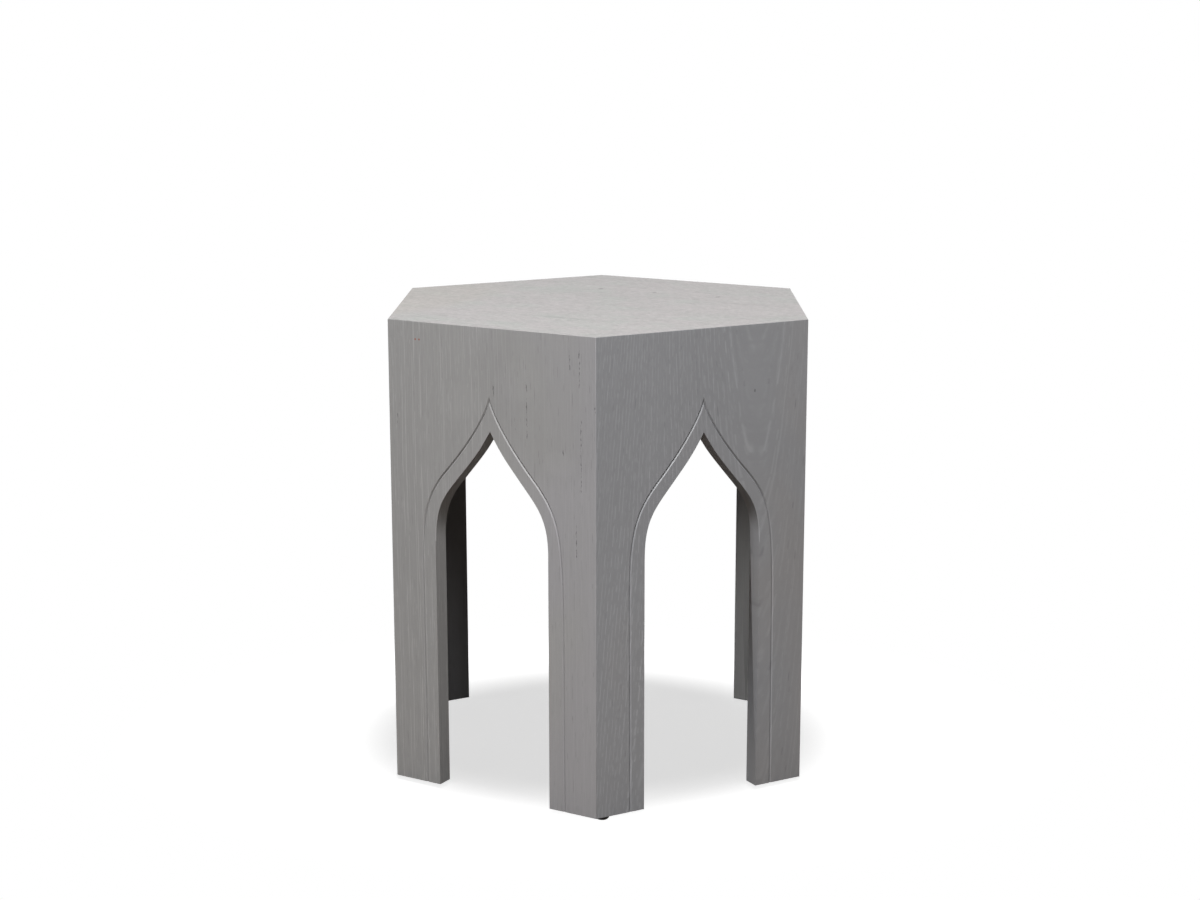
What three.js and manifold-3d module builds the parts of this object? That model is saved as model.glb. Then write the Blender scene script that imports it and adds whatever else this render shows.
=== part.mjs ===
// Moroccan kursi stool: a hexagonal box stool. Six side boards are mitred to each other and to
// a mitred top, an ogee arch is cut out of each side, and an engraved line follows each arch.
// The arches leave six corner legs, and each leg stands on a screw-in leveller.
// Millimetres, +Z up. The origin is on the floor under the centre, and one leg faces -Y.

import * as THREE from "three";
import { mergeVertices } from "three/addons/utils/BufferGeometryUtils.js";
import Module from "manifold-3d";

// Carcass: a six-sided case of boards, open below
const side_count = 6;
const across_flats = 457.2;
const carcass_height = 523.5;
const board = 19;
const glue_line = 0.3;

// Arch opening in each side: heights are above the feet, leans are from upright
const arch_width = 145;
const arch_spring_height = 282;
const arch_turn_width = 87.6;
const arch_turn_height = 353.6;
const arch_peak_height = 411;
const arch_turn_lean_deg = 40.9;
const arch_peak_lean_deg = 32;
const spring_handle = 38;
const turn_lower_handle = 28.4;
const turn_upper_handle = 43;
const peak_handle = 28;
const arch_steps = 12;

// Engraved line: a V-groove outside the arch. It leaves the upright lower down than the arch
// does, comes closer to it on the way in, and ends in a sharper point. Its places are distances
// from the arch's own.
const line_offset = 18.2;
const line_spring_drop = 74.9;
const line_turn_offset = 11.8;
const line_turn_rise = 9.9;
const line_peak_rise = 34.2;
const line_turn_lean_deg = 42.6;
const line_peak_lean_deg = 16.9;
const line_spring_handle = 93.7;
const line_turn_lower_handle = 50.3;
const line_turn_upper_handle = 39.5;
const line_peak_handle = 22.1;
const line_width = 2.4;
const line_depth = 1.1;

// Loose tongues in the mitres: places are shares of the mitre's width, from the outer edge
const tongue_width = 16;
const tongue_thickness = 4;
const tongue_fit = 0.3;
const tongue_end_wood = 8;
const corner_tongue_place_share = 0.59;
const top_tongue_place_share = 0.63;
const corner_tongue_head_space = 3;
const top_tongue_end_space = 32;

// Glue blocks in the corners under the top
const block_leg = 45;
const block_height = 30;

// Levellers: a pad on a stud, screwed into an insert in the end of a leg
const pad_diameter = 15;
const pad_foot_diameter = 12;
const pad_height = 4;
const pad_taper_height = 1.6;
const pad_edge_round = 0.5;
const pad_seat_gap = 0.3;
const pad_socket_depth = 2.4;
const stud_diameter = 6;
const stud_reach = 22;
const stud_point = 1;
const insert_diameter = 8;
const insert_length = 13;
const insert_fit = 0.3;
const running_clearance = 0.1;
const pilot_spare = 2;
const leveller_from_corner = 12.5;
const pad_sides = 32;
const stud_sides = 16;

// Every cut runs on past the face that it starts from
const cut_overrun = 1;

const sixth_turn = (2 * Math.PI) / side_count;
const half_sixth = sixth_turn / 2;
const apothem = across_flats / 2;
const corner_radius = apothem / Math.cos(half_sixth);
const side_length = 2 * apothem * Math.tan(half_sixth);
const inner_corner_radius = (apothem - board) / Math.cos(half_sixth);
const corner_mitre_width = corner_radius - inner_corner_radius;
const top_mitre_width = board * Math.SQRT2;
const foot_z = pad_height + pad_seat_gap;
const top_z = foot_z + carcass_height;
const top_underside_z = top_z - board;
const leveller_hole_depth = stud_reach + pilot_spare;
const corner_tongue_foot_z = foot_z + leveller_hole_depth + tongue_end_wood;
const corner_tongue_head_z = top_underside_z - corner_tongue_head_space;
const corner_tongue_length = corner_tongue_head_z - corner_tongue_foot_z;
const top_tongue_length = side_length - 2 * top_tongue_end_space;
const cutter_size = 2 * (across_flats + carcass_height);

// Faces and corners run anticlockwise from above. Face i has corner i at its left end, seen
// from outside, and corner i + 1 at its right end.
const face_names = ["front_right", "right", "back_right", "back_left", "left", "front_left"];
const corner_names = ["front", "right", "back_right", "back", "back_left", "left"];

// The board that carries each leg's leveller: 1 for the one that starts at the corner, and
// -1 for the one that ends there
const leveller_hands = [1, 1, -1, 1, 1, -1];

const grey_lacquer = new THREE.MeshStandardMaterial({ color: 0x8e8d8b, roughness: 0.5, metalness: 0 });
const bare_beech = new THREE.MeshStandardMaterial({ color: 0xc9a877, roughness: 0.7, metalness: 0 });
const zinc_plate = new THREE.MeshStandardMaterial({ color: 0xb4b6b8, roughness: 0.35, metalness: 1 });
const dark_nylon = new THREE.MeshStandardMaterial({ color: 0x3a3534, roughness: 0.45, metalness: 0 });

const wasm = await Module();
wasm.setup();

function toSolid(geometry) {
  const bare = geometry.clone();
  bare.deleteAttribute("normal");
  bare.deleteAttribute("uv");
  const merged = mergeVertices(bare);
  const vertProperties = new Float32Array(merged.attributes.position.array);
  const triVerts = new Uint32Array(merged.index.array);
  return new wasm.Manifold(new wasm.Mesh({ numProp: 3, vertProperties, triVerts }));
}

function toGeometry(solid) {
  const mesh = solid.getMesh();
  const geometry = new THREE.BufferGeometry();
  geometry.setAttribute("position", new THREE.BufferAttribute(mesh.vertProperties, 3));
  geometry.setIndex(new THREE.BufferAttribute(mesh.triVerts, 1));
  geometry.computeVertexNormals();
  return geometry;
}

function cutAll(geometry, cutters) {
  let solid = toSolid(geometry);
  for (const cutter of cutters) {
    solid = solid.subtract(toSolid(cutter));
  }
  return toGeometry(solid);
}

// All the space beyond a plane, as a large box
function beyondPlane(point, outward) {
  const box = new THREE.BoxGeometry(cutter_size, cutter_size, cutter_size);
  box.translate(0, 0, cutter_size / 2);
  box.applyQuaternion(new THREE.Quaternion().setFromUnitVectors(new THREE.Vector3(0, 0, 1), outward));
  box.translate(point.x, point.y, point.z);
  return box;
}

function uprightCylinder(radius, length, sides) {
  const cylinder = new THREE.CylinderGeometry(radius, radius, length, sides);
  cylinder.rotateX(Math.PI / 2);
  cylinder.translate(0, 0, length / 2);
  return cylinder;
}

function uprightLathe(profile, sides) {
  const lathe = new THREE.LatheGeometry(profile, sides);
  lathe.rotateX(Math.PI / 2);
  return lathe;
}

// The radius at which a many-sided hole clears a round piece
function clearRadius(diameter, clearance, sides) {
  return (diameter / 2 + clearance) / Math.cos(Math.PI / sides);
}

// The right half of an ogee: it rises from the spring, swells inwards to the turn, and sweeps
// up to the peak. x is along the face, y is height.
function leaning(lean_deg, length) {
  const lean = THREE.MathUtils.degToRad(lean_deg);
  return new THREE.Vector2(-Math.sin(lean) * length, Math.cos(lean) * length);
}

function swellCurve(spring, turn, turn_lean_deg, first_handle, second_handle) {
  return new THREE.CubicBezierCurve(
    spring,
    spring.clone().add(leaning(0, first_handle)),
    turn.clone().sub(leaning(turn_lean_deg, second_handle)),
    turn,
  );
}

function sweepCurve(turn, peak, turn_lean_deg, peak_lean_deg, first_handle, second_handle) {
  return new THREE.CubicBezierCurve(
    turn,
    turn.clone().add(leaning(turn_lean_deg, first_handle)),
    peak.clone().sub(leaning(peak_lean_deg, second_handle)),
    peak,
  );
}

function ogeeLine(start_z, swell, sweep) {
  const foot = new THREE.Vector2(swell.v0.x, start_z);
  return [foot, ...swell.getPoints(arch_steps), ...sweep.getPoints(arch_steps).slice(1)];
}

const arch_spring = new THREE.Vector2(arch_width / 2, foot_z + arch_spring_height);
const arch_turn = new THREE.Vector2(arch_turn_width / 2, foot_z + arch_turn_height);
const arch_peak = new THREE.Vector2(0, foot_z + arch_peak_height);
const arch_swell = swellCurve(
  arch_spring,
  arch_turn,
  arch_turn_lean_deg,
  spring_handle,
  turn_lower_handle,
);
const arch_sweep = sweepCurve(
  arch_turn,
  arch_peak,
  arch_turn_lean_deg,
  arch_peak_lean_deg,
  turn_upper_handle,
  peak_handle,
);

const line_spring = new THREE.Vector2(arch_spring.x + line_offset, arch_spring.y - line_spring_drop);
const line_turn = new THREE.Vector2(arch_turn.x + line_turn_offset, arch_turn.y + line_turn_rise);
const line_peak = new THREE.Vector2(0, arch_peak.y + line_peak_rise);
const line_swell = swellCurve(
  line_spring,
  line_turn,
  line_turn_lean_deg,
  line_spring_handle,
  line_turn_lower_handle,
);
const line_sweep = sweepCurve(
  line_turn,
  line_peak,
  line_turn_lean_deg,
  line_peak_lean_deg,
  line_turn_upper_handle,
  line_peak_handle,
);

// A right half line that ends in the middle of the face, carried on down the left half
function withLeftHalf(points) {
  const left_half = points.slice(0, -1).map((point) => new THREE.Vector2(-point.x, point.y));
  return points.concat(left_half.reverse());
}

// Engraving: a V section swept along the line's path, with mitred joints between its steps
function engravingCutter() {
  const path = withLeftHalf(ogeeLine(foot_z - cut_overrun, line_swell, line_sweep));
  const mouth_half_width = ((line_width / 2) * (line_depth + cut_overrun)) / line_depth;
  const mouth_y = -apothem - cut_overrun;
  const bottom_y = -apothem + line_depth;
  const positions = [];
  const indices = [];
  path.forEach((point, i) => {
    const before = point.clone().sub(path[Math.max(i - 1, 0)]).normalize();
    const after = path[Math.min(i + 1, path.length - 1)].clone().sub(point).normalize();
    const along = before.clone().add(after).normalize();
    const step = after.lengthSq() > 0 ? after : before;
    const across = new THREE.Vector2(along.y, -along.x);
    const mitre_stretch = 1 / along.dot(step);
    const reach = mouth_half_width * mitre_stretch;
    positions.push(point.x + across.x * reach, mouth_y, point.y + across.y * reach);
    positions.push(point.x - across.x * reach, mouth_y, point.y - across.y * reach);
    positions.push(point.x, bottom_y, point.y);
  });
  const last = path.length - 1;
  for (let i = 0; i < last; i += 1) {
    for (let corner = 0; corner < 3; corner += 1) {
      const next_corner = (corner + 1) % 3;
      const a = 3 * i + corner;
      const b = 3 * i + next_corner;
      const c = 3 * (i + 1) + next_corner;
      const d = 3 * (i + 1) + corner;
      indices.push(a, d, b, b, d, c);
    }
  }
  indices.push(0, 1, 2);
  indices.push(3 * last, 3 * last + 2, 3 * last + 1);
  const cutter = new THREE.BufferGeometry();
  cutter.setAttribute("position", new THREE.Float32BufferAttribute(positions, 3));
  cutter.setIndex(indices);
  return cutter;
}

// Corner tongue: stands in the mitre between two sides, here at the corner that faces -Y
function cornerTongue(fit) {
  const box = new THREE.BoxGeometry(
    tongue_width + 2 * fit,
    tongue_thickness + 2 * fit,
    corner_tongue_length + 2 * fit,
  );
  const place = corner_radius - corner_mitre_width * corner_tongue_place_share;
  box.translate(0, -place, corner_tongue_foot_z + corner_tongue_length / 2);
  return box;
}

// Top tongue: lies in the mitre between the top and the side that faces -Y
function topTongue(fit) {
  const box = new THREE.BoxGeometry(
    top_tongue_length + 2 * fit,
    tongue_width + 2 * fit,
    tongue_thickness + 2 * fit,
  );
  const step_in = (top_mitre_width * top_tongue_place_share) / Math.SQRT2;
  box.rotateX(Math.PI / 4);
  box.translate(0, -apothem + step_in, top_z - step_in);
  return box;
}

// Side board, as the one that faces -Y: arch, mitred ends and top edge, tongue slots, the
// engraved line, and a hole in the foot at each end that carries a leveller
function sideBoard(leveller_ends) {
  const outline = new THREE.Shape([
    new THREE.Vector2(-side_length / 2, foot_z),
    new THREE.Vector2(-side_length / 2, top_z),
    new THREE.Vector2(side_length / 2, top_z),
    new THREE.Vector2(side_length / 2, foot_z),
    ...withLeftHalf(ogeeLine(foot_z, arch_swell, arch_sweep)),
  ]);
  const blank = new THREE.ExtrudeGeometry(outline, { depth: board, bevelEnabled: false });
  blank.rotateX(Math.PI / 2);
  blank.translate(0, -apothem + board, 0);

  const top_normal = new THREE.Vector3(0, 1, 1).normalize();
  const top_arris = new THREE.Vector3(0, -apothem, top_z);
  const cutters = [beyondPlane(top_arris.addScaledVector(top_normal, -glue_line / 2), top_normal)];
  for (const end of [-1, 1]) {
    const end_normal = new THREE.Vector3(end * Math.cos(half_sixth), Math.sin(half_sixth), 0);
    cutters.push(beyondPlane(end_normal.clone().multiplyScalar(-glue_line / 2), end_normal));
    cutters.push(cornerTongue(tongue_fit).rotateZ(end * half_sixth));
  }
  cutters.push(topTongue(tongue_fit));
  cutters.push(engravingCutter());
  for (const end of leveller_ends) {
    const hole_radius = clearRadius(insert_diameter, insert_fit, stud_sides);
    const hole = uprightCylinder(hole_radius, leveller_hole_depth + cut_overrun, stud_sides);
    const hole_x = end * (side_length / 2 - leveller_from_corner);
    cutters.push(hole.translate(hole_x, -apothem + board / 2, foot_z - cut_overrun));
  }
  return cutAll(blank, cutters);
}

// Top board: a hexagon whose edges are mitred under at 45 degrees
function topBoard() {
  const mitre_setback = (glue_line / 2) * Math.SQRT2;
  const face_radius = (apothem - mitre_setback) / Math.cos(half_sixth);
  const underside_radius = (apothem - mitre_setback - board) / Math.cos(half_sixth);
  const blank = new THREE.CylinderGeometry(face_radius, underside_radius, board, side_count);
  blank.rotateX(Math.PI / 2);
  blank.translate(0, 0, top_z - board / 2);
  const slots = face_names.map((name, i) => topTongue(tongue_fit).rotateZ((i + 1 / 2) * sixth_turn));
  return cutAll(blank, slots);
}

// Glue block, as the one in the corner that faces -Y: three-cornered, tight under the top
function glueBlock() {
  const corner_y = -inner_corner_radius + glue_line / Math.cos(half_sixth);
  const leg_x = block_leg * Math.cos(half_sixth);
  const leg_y = corner_y + block_leg * Math.sin(half_sixth);
  const outline = new THREE.Shape([
    new THREE.Vector2(0, corner_y),
    new THREE.Vector2(leg_x, leg_y),
    new THREE.Vector2(-leg_x, leg_y),
  ]);
  const block = new THREE.ExtrudeGeometry(outline, { depth: block_height, bevelEnabled: false });
  block.translate(0, 0, top_underside_z - glue_line - block_height);
  return block;
}

// Leveller pieces, each on its own axis with the floor at zero height
function pad() {
  const radius = pad_diameter / 2;
  const socket_radius = clearRadius(stud_diameter, running_clearance, stud_sides);
  return uprightLathe([
    new THREE.Vector2(0, 0),
    new THREE.Vector2(pad_foot_diameter / 2, 0),
    new THREE.Vector2(radius, pad_taper_height),
    new THREE.Vector2(radius, pad_height - pad_edge_round),
    new THREE.Vector2(radius - pad_edge_round, pad_height),
    new THREE.Vector2(socket_radius, pad_height),
    new THREE.Vector2(socket_radius, pad_height - pad_socket_depth),
    new THREE.Vector2(0, pad_height - pad_socket_depth),
  ], pad_sides);
}

function stud() {
  const radius = stud_diameter / 2;
  const foot = pad_height - pad_socket_depth + running_clearance;
  const tip = foot_z + stud_reach;
  return uprightLathe([
    new THREE.Vector2(0, foot),
    new THREE.Vector2(radius, foot),
    new THREE.Vector2(radius, tip - stud_point),
    new THREE.Vector2(radius - stud_point, tip),
    new THREE.Vector2(0, tip),
  ], stud_sides);
}

function insert() {
  const bore_radius = clearRadius(stud_diameter, running_clearance, stud_sides);
  return uprightLathe([
    new THREE.Vector2(bore_radius, foot_z),
    new THREE.Vector2(insert_diameter / 2, foot_z),
    new THREE.Vector2(insert_diameter / 2, foot_z + insert_length),
    new THREE.Vector2(bore_radius, foot_z + insert_length),
    new THREE.Vector2(bore_radius, foot_z),
  ], stud_sides);
}

function named(name, geometry, material) {
  const mesh = new THREE.Mesh(geometry, material);
  mesh.name = name;
  return mesh;
}

// Leveller set, placed at the corner that faces -Y, in the board on the given hand
function levellerSet(corner_name, hand) {
  const across = leveller_from_corner * Math.cos(half_sixth) - (board / 2) * Math.sin(half_sixth);
  const inward = leveller_from_corner * Math.sin(half_sixth) + (board / 2) * Math.cos(half_sixth);
  const set = new THREE.Group();
  set.add(named(`insert_${corner_name}`, insert(), zinc_plate));
  set.add(named(`stud_${corner_name}`, stud(), zinc_plate));
  set.add(named(`pad_${corner_name}`, pad(), dark_nylon));
  set.position.set(hand * across, inward - corner_radius, 0);
  return set;
}

const stool = new THREE.Group();
stool.add(named("top_panel", topBoard(), grey_lacquer));

face_names.forEach((name, i) => {
  const leveller_ends = [];
  if (leveller_hands[i] === 1) {
    leveller_ends.push(-1);
  }
  if (leveller_hands[(i + 1) % side_count] === -1) {
    leveller_ends.push(1);
  }
  const face = new THREE.Group();
  face.add(named(`side_${name}`, sideBoard(leveller_ends), grey_lacquer));
  face.add(named(`top_spline_${name}`, topTongue(0), bare_beech));
  face.rotation.z = (i + 1 / 2) * sixth_turn;
  stool.add(face);
});

corner_names.forEach((name, i) => {
  const corner = new THREE.Group();
  corner.add(named(`corner_spline_${name}`, cornerTongue(0), bare_beech));
  corner.add(named(`glue_block_${name}`, glueBlock(), bare_beech));
  corner.add(levellerSet(name, leveller_hands[i]));
  corner.rotation.z = i * sixth_turn;
  stool.add(corner);
});

export default stool;
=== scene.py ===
import bmesh
import bpy
import math
from mathutils import Matrix, Vector


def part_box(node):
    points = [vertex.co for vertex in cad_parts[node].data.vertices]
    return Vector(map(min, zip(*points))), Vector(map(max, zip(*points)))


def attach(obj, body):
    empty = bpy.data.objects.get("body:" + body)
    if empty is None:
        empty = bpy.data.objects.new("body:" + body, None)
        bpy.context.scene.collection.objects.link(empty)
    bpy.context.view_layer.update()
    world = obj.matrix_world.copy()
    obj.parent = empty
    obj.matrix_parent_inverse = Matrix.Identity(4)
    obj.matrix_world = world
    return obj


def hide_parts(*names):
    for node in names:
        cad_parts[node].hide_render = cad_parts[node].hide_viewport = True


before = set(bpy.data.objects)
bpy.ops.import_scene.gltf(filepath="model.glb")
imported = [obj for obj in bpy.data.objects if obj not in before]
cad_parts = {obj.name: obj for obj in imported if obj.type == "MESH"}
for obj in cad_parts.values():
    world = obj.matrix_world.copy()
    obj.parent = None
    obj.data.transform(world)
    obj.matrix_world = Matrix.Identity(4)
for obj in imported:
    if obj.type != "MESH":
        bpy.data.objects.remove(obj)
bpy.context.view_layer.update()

# Side boards: six 19 mm ash-faced boards, mitred at both ends and along the top, each with an
# ogee arch sawn out of it and a V-groove with a sharper point engraved outside the arch. The
# arrises are eased, and a satin grey lacquer is sprayed on that leaves the grain open.
mm = 0.001
face_names = ["front_right", "right", "back_right", "back_left", "left", "front_left"]
corner_names = ["front", "right", "back_right", "back", "back_left", "left"]
leveller_hands = [1, 1, -1, 1, 1, -1]
sixth_turn = math.tau / 6
half_sixth = sixth_turn / 2
board = 19 * mm
foot_z = 4.3 * mm
top_z = 527.8 * mm
apothem = 228.6 * mm
corner_radius = apothem / math.cos(half_sixth)
half_side = apothem * math.tan(half_sixth)
arch_half_width = 72.5 * mm
arch_spring_z = foot_z + 282 * mm
arch_turn = Vector((43.8 * mm, foot_z + 353.6 * mm))
arch_peak = Vector((0, foot_z + 411 * mm))
arch_turn_lean = math.radians(40.9)
arch_peak_lean = math.radians(32)
arch_handles = (38 * mm, 28.4 * mm, 43 * mm, 28 * mm)
arch_steps = 24
groove_spring = Vector((arch_half_width + 18.2 * mm, arch_spring_z - 74.9 * mm))
groove_turn = arch_turn + Vector((11.8 * mm, 9.9 * mm))
groove_peak = arch_peak + Vector((0, 34.2 * mm))
groove_turn_lean = math.radians(42.6)
groove_peak_lean = math.radians(16.9)
groove_handles = (93.7 * mm, 50.3 * mm, 39.5 * mm, 22.1 * mm)
# the groove's section is (across, depth) in mm. The coat is lightened inside the groove, a painted
# highlight, and darkened towards its bottom, painted shade, each tone a share of the coat's own
groove_section = [(-1.5, 0), (-0.2, 1.35), (0, 1.4), (0.2, 1.35), (1.5, 0)]
groove_painted_shade = 0.25
groove_painted_light = 0.05
groove_drift = (1.0 * mm, -0.6 * mm)
arris_round = 0.7 * mm
edge_easing = 0.5 * mm
arch_easing = 0.6 * mm
# tones of the cut edges, as shares of the coat's own: a face that looks down or up is darker,
# partly for its end grain and partly as painted shade under the arch; upright cut faces such as the
# sides of the opening are lighter, a painted light; and the eased arris round the arch is lighter,
# a painted highlight
end_grain_and_painted_shade = -0.15
reveal_painted_light = 0.08
arris_painted_highlight = 0.22
hole_radius = 4.3 * mm
hole_depth = 24 * mm
hole_from_corner = 12.5 * mm
hole_segments = 32
spare = 6 * mm
cut_tolerance = 1e-7
weld_distance = 1e-6
sharp_angle = math.radians(30)
smooth_round_angle = math.radians(50)
smooth_curve_angle = math.radians(12)
arris_segments = 3
arch_arris_segments = 4


def bezier(start, first_handle, second_handle, end, share):
    """Point on a curve, and its direction there"""
    rest = 1 - share
    point = (
        start * rest**3 + first_handle * 3 * rest**2 * share
        + second_handle * 3 * rest * share**2 + end * share**3
    )
    along = (
        (first_handle - start) * rest**2 + (second_handle - first_handle) * 2 * rest * share
        + (end - second_handle) * share**2
    )
    return point, along.normalized()


def leaning(lean, length):
    return Vector((-math.sin(lean), math.cos(lean))) * length


def ogee(spring, turn, peak, turn_lean, peak_lean, handles):
    """The right half of an ogee line, foot to peak: points, and the way out from each"""
    swell = (
        spring, spring + leaning(0, handles[0]), turn - leaning(turn_lean, handles[1]), turn,
    )
    sweep = (
        turn, turn + leaning(turn_lean, handles[2]), peak - leaning(peak_lean, handles[3]), peak,
    )
    line = [(Vector((spring.x, foot_z)), Vector((1, 0)))]
    for curve, first_step in ((swell, 0), (sweep, 1)):
        for step in range(first_step, arch_steps + 1):
            point, along = bezier(*curve, step / arch_steps)
            line.append((point, Vector((along.y, -along.x))))
    line.append((peak, Vector((0, 1 / math.sin(peak_lean)))))
    return line


def beside(line, distance):
    """The places at a distance from a line, ended where they would pass the middle"""
    places = [point + outward * distance for point, outward in line]
    past = [i for i, place in enumerate(places) if place.x < 0]
    if past:
        last, beyond = places[past[0] - 1], places[past[0]]
        crossing = last.lerp(beyond, last.x / (last.x - beyond.x))
        places[past[0]:] = [crossing] * (len(places) - past[0])
    return places


def row_of_verts(bm, places, depth, drift, groove_depth):
    """Vertices along a right half line, foot to middle, and along its mirror image after it. The
    row drifts sideways, by one amount at the foot and by another above the legs."""
    both_halves = places + [Vector((-place.x, place.y)) for place in reversed(places)]
    row = []
    for place in both_halves:
        share = min(1, max(0, 2 * place.y / arch_spring_z - 1))
        drifted = drift[0] * (1 - share) + drift[1] * share
        row.append(bm.verts.new((place.x + drifted, depth, place.y)))
        row[-1][groove_depth] = depth / mm
    return row


def slice_off(bm, point, normal):
    """Cuts away all beyond a plane, closes the cut, and gives the new faces"""
    cut = bmesh.ops.bisect_plane(
        bm, geom=bm.verts[:] + bm.edges[:] + bm.faces[:], dist=cut_tolerance,
        plane_co=point, plane_no=normal, clear_outer=True,
    )["geom_cut"]
    rim = [part for part in cut if isinstance(part, bmesh.types.BMEdge) and part.is_boundary]
    return bmesh.ops.edgeloop_fill(bm, edges=rim)["faces"]


def round_off(bm, centre, ways, eased):
    """Planes off an arris in steps, each at the round's radius from its centre"""
    for way in ways:
        for face in slice_off(bm, centre + way * arris_round, way):
            face[eased] = 1


def ease(bm, edges, offset, segments, eased):
    rounded = bmesh.ops.bevel(
        bm, geom=edges, offset=offset, offset_type="OFFSET", segments=segments,
        profile=0.5, affect="EDGES", material=-1, clamp_overlap=False,
    )["faces"]
    for face in rounded:
        face[eased] = 1


def set_shading(bm, eased):
    """Flat faces stay flat, curves and eased edges are smooth"""
    for face in bm.faces:
        face.smooth = True
    for edge in bm.edges:
        kinds = {face[eased] for face in edge.link_faces}
        limit = smooth_round_angle if kinds == {1} else smooth_curve_angle if len(kinds) == 1 else 0
        edge.smooth = edge.calc_face_angle(0) < limit


def finished_object(name, bm, materials):
    """A closed mesh becomes a piece of the stool"""
    bmesh.ops.recalc_face_normals(bm, faces=bm.faces[:])
    mesh = bpy.data.meshes.new(name)
    bm.to_mesh(mesh)
    bm.free()
    for material in materials:
        mesh.materials.append(material)
    piece = bpy.data.objects.new(name, mesh)
    bpy.context.scene.collection.objects.link(piece)
    return piece


def side_board_blank():
    """A side board as the one that faces -Y, with its outer face at depth 0"""
    bm = bmesh.new()
    eased = bm.faces.layers.int.new("eased")
    reveal = bm.faces.layers.int.new("reveal")
    groove = bm.faces.layers.int.new("groove")
    groove_depth = bm.verts.layers.float.new("groove_depth")
    arch_line = ogee(
        Vector((arch_half_width, arch_spring_z)), arch_turn, arch_peak, arch_turn_lean,
        arch_peak_lean, arch_handles,
    )
    groove_line = ogee(
        groove_spring, groove_turn, groove_peak, groove_turn_lean, groove_peak_lean,
        groove_handles,
    )
    arch_row = row_of_verts(bm, beside(arch_line, 0), 0, (0, 0), groove_depth)
    rows = [
        row_of_verts(bm, beside(groove_line, across * mm), depth * mm, groove_drift, groove_depth)
        for across, depth in groove_section
    ]
    bm.faces.new(arch_row + rows[0][::-1])
    for row, outer_row in zip(rows, rows[1:]):
        for i in range(len(row) - 1):
            bm.faces.new((row[i], row[i + 1], outer_row[i + 1], outer_row[i]))[groove] = 1
    border = [
        bm.verts.new((side * (half_side + spare), 0, z))
        for side, z in ((-1, foot_z), (-1, top_z + spare), (1, top_z + spare), (1, foot_z))
    ]
    bm.faces.new(rows[-1] + border)
    bmesh.ops.dissolve_degenerate(bm, edges=bm.edges[:], dist=weld_distance)
    bmesh.ops.remove_doubles(bm, verts=bm.verts[:], dist=weld_distance)
    outline = [edge for edge in bm.edges if edge.is_boundary]
    made = bmesh.ops.extrude_edge_only(bm, edges=outline)["geom"]
    back_verts = {part for part in made if isinstance(part, bmesh.types.BMVert)}
    for vert in back_verts:
        vert.co.y = board
    back = [
        part for part in made
        if isinstance(part, bmesh.types.BMEdge) and back_verts.issuperset(part.verts)
    ]
    bmesh.ops.edgeloop_fill(bm, edges=back)
    bmesh.ops.recalc_face_normals(bm, faces=bm.faces[:])
    for face in bm.faces:
        face[reveal] = abs(face.normal.y) < 0.1 and abs(face.normal.z) < 0.999
    sharp = [
        e for e in bm.edges
        if e.is_convex and e.calc_face_angle(0) > sharp_angle
        and not any(face[groove] for face in e.link_faces)
    ]
    arch = [
        e for e in sharp
        if any(face[reveal] for face in e.link_faces)
        and max(abs(vert.co.x) for vert in e.verts) < half_side
    ]
    feet = [e for e in sharp if e not in arch]
    ease(bm, feet, edge_easing, arris_segments, eased)
    ease(bm, [e for e in arch if e.is_valid], arch_easing, arch_arris_segments, eased)
    return bm, eased


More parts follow.
